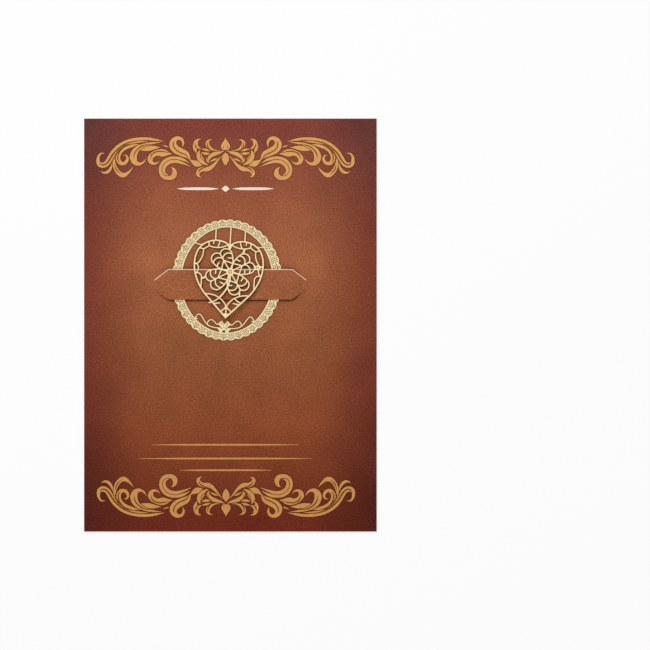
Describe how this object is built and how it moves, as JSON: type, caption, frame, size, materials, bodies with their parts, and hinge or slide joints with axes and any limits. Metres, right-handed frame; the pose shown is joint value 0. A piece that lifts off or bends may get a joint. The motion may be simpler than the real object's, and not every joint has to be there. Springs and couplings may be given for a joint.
{
  "type": "clip bookmark on a presentation card",
  "caption": "Flat etched-metal clip bookmark, a filigree heart with a clover inside a scalloped oval, held by the die-cut band of its printed presentation card.",
  "frame": {"origin": "middle of the card's back face", "axes": "+X to the right of the printed face, +Y to the top of the card, +Z out of the printed face"},
  "size_m": [0.085, 0.12, 0.0029],
  "materials": {
    "printed_card": "300 g card stock, printed and satin coated",
    "gold_plated_brass": "photo-etched and gold plated, satin"
  },
  "bodies": {
    "card": {"card_sheet": "printed_card", "card_band": "printed_card"},
    "clip_frame": {"lace_frame": "gold_plated_brass", "hanger_bars": "gold_plated_brass", "ribbon_bow": "gold_plated_brass"},
    "heart_tongue": {"heart_rim": "gold_plated_brass", "side_ties": "gold_plated_brass", "clover": "gold_plated_brass"}
  },
  "joints": [
    {"name": "clip_slide", "type": "slide", "parent": "card", "child": "clip_frame", "axis": [0, 1, 0], "range_m": [0, 0.022]},
    {"name": "tongue_flex", "type": "hinge", "parent": "clip_frame", "child": "heart_tongue", "pos_m": [-0.00001, 0.02461, 0.0007], "axis": [-0.9983, 0.0576, 0], "range_deg": [0, 10], "stiffness_Nm_per_rad": 0.05}
  ]
}
